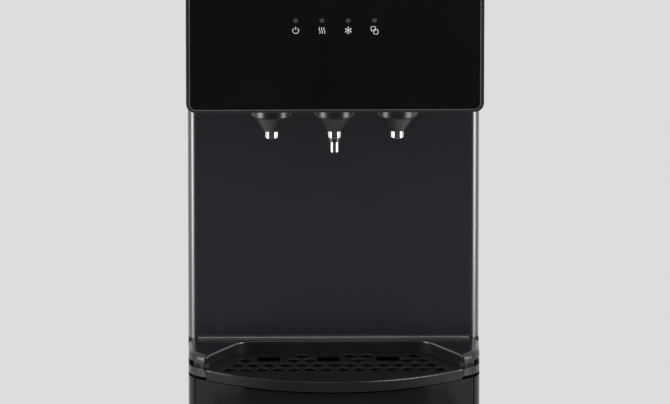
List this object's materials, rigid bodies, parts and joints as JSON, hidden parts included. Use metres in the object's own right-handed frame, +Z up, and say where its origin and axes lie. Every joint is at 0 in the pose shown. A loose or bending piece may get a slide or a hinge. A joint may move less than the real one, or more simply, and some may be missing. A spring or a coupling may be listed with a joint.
{
  "type": "bottom load water cooler",
  "caption": "Upright bottom-loading water cooler with sloping push buttons, three nozzles over a drip tray, bottle bay behind a bowed door, compressor and rear condenser.",
  "frame": {"origin": "on the floor under the middle of the whole cooler", "axes": "+X to the right, the door and nozzles face -Y, +Z up"},
  "size_m": [0.3134, 0.364, 1.112],
  "materials": {
    "black_plastic": "gloss black",
    "charcoal_plastic": "satin charcoal",
    "shelf_plastic": "satin black",
    "grille_plastic": "satin dark grey",
    "door_black": "gloss black",
    "liner_plastic": "fine grained",
    "black_glass": "black back-printed gloss glass",
    "black_steel": "satin black powder coat",
    "zinc_steel": "zinc plated",
    "stainless": "brushed stainless steel",
    "chrome": "mirror chrome",
    "copper": "drawn copper",
    "condenser_black": "black dip paint",
    "compressor_black": "gloss black paint",
    "red_plastic": "gloss",
    "grey_plastic": "gloss",
    "blue_plastic": "gloss",
    "green_plastic": "gloss",
    "white_plastic": "satin",
    "lens_plastic": "diffusing clear plastic",
    "white_foam": "closed-cell foam",
    "circuit_board": "solder resist",
    "pump_plastic": "satin",
    "silicone": "translucent silicone",
    "rubber": "matt"
  },
  "bodies": {
    "cabinet": {"alcove_panel": "charcoal_plastic", "base_pan": "black_steel", "bay_floor": "liner_plastic", "button_panel": "black_plastic", "cold_tank": "stainless", "cold_tank_foam": "white_foam", "compressor": "compressor_black", "compressor_grommets": "rubber", "condenser": "condenser_black", "condenser_brackets": "black_plastic", "deck_grommet": "rubber", "dispensing_valves": "white_plastic", "door_magnet": "black_plastic", "drain_pipe": "silicone", "evaporator_coil": "copper", "feet": "rubber", "front_glass": "black_glass", "front_shelf": "shelf_plastic", "head_shell": "black_plastic", "hinge_brackets": "zinc_steel", "hot_tank": "stainless", "hot_tank_jacket": "white_foam", "hot_tank_stand": "zinc_steel", "indicator_board": "circuit_board", "indicator_lenses": "lens_plastic", "mains_inlet": "black_plastic", "mid_deck": "zinc_steel", "nozzle_tips": "chrome", "nozzles": "black_plastic", "power_board": "circuit_board", "power_board_cover": "white_plastic", "probe_hanger": "charcoal_plastic", "probe_hose": "silicone", "rear_panel": "black_steel", "rear_panel_screws": "zinc_steel", "refrigerant_lines": "copper", "side_panel_left": "black_steel", "side_panel_right": "black_steel", "switch_board": "circuit_board", "switch_housings": "black_plastic", "switch_plate": "black_plastic", "tank_shelf": "zinc_steel", "top_cover": "black_plastic", "water_hoses": "silicone", "water_pump": "pump_plastic"},
    "door": {"door_panel": "door_black", "door_liner": "liner_plastic", "door_finger_pull": "charcoal_plastic", "door_strike": "zinc_steel"},
    "tray": {"drip_tray": "shelf_plastic"},
    "grille": {"drip_grille": "grille_plastic"},
    "hot_button": {"button_hot": "red_plastic"},
    "room_button": {"button_room": "grey_plastic"},
    "cold_button": {"button_cold": "blue_plastic"},
    "lock_slider": {"child_lock": "red_plastic"},
    "heat_rocker": {"rocker_heat": "red_plastic"},
    "cool_rocker": {"rocker_cool": "green_plastic"},
    "probe": {"probe_cap": "white_plastic", "probe_tube": "stainless"},
    "drain_cap_body": {"drain_cap": "charcoal_plastic"}
  },
  "joints": [
    {"name": "door_hinge", "type": "hinge", "parent": "cabinet", "child": "door", "pos_m": [-0.147, -0.098, 0.32], "axis": [0, 0, -1], "range_deg": [0, 90]},
    {"name": "tray_lift", "type": "slide", "parent": "cabinet", "child": "tray", "axis": [0, 0, 1], "range_m": [0, 0.1]},
    {"name": "grille_lift", "type": "slide", "parent": "tray", "child": "grille", "axis": [0, 0, 1], "range_m": [0, 0.04]},
    {"name": "hot_press", "type": "slide", "parent": "cabinet", "child": "hot_button", "axis": [0, 0.5914, -0.8064], "range_m": [0, 0.0025], "stiffness_N_per_m": 400, "springref_m": -0.001},
    {"name": "room_press", "type": "slide", "parent": "cabinet", "child": "room_button", "axis": [0, 0.5914, -0.8064], "range_m": [0, 0.0025], "stiffness_N_per_m": 400, "springref_m": -0.001},
    {"name": "cold_press", "type": "slide", "parent": "cabinet", "child": "cold_button", "axis": [0, 0.5914, -0.8064], "range_m": [0, 0.0025], "stiffness_N_per_m": 400, "springref_m": -0.001},
    {"name": "child_lock_slide", "type": "slide", "parent": "cabinet", "child": "lock_slider", "axis": [1, 0, 0], "range_m": [0, 0.006]},
    {"name": "heat_switch", "type": "hinge", "parent": "cabinet", "child": "heat_rocker", "pos_m": [0.103, 0.154, 0.672], "axis": [-1, 0, 0], "range_deg": [0, 16]},
    {"name": "cool_switch", "type": "hinge", "parent": "cabinet", "child": "cool_rocker", "pos_m": [0.129, 0.154, 0.672], "axis": [-1, 0, 0], "range_deg": [0, 16]},
    {"name": "probe_unhook", "type": "slide", "parent": "cabinet", "child": "probe", "axis": [0, -1, 0], "range_m": [0, 0.05], "deforming": ["probe_hose"]},
    {"name": "drain_cap_off", "type": "slide", "parent": "cabinet", "child": "drain_cap_body", "axis": [0, 1, 0], "range_m": [0, 0.015]}
  ]
}
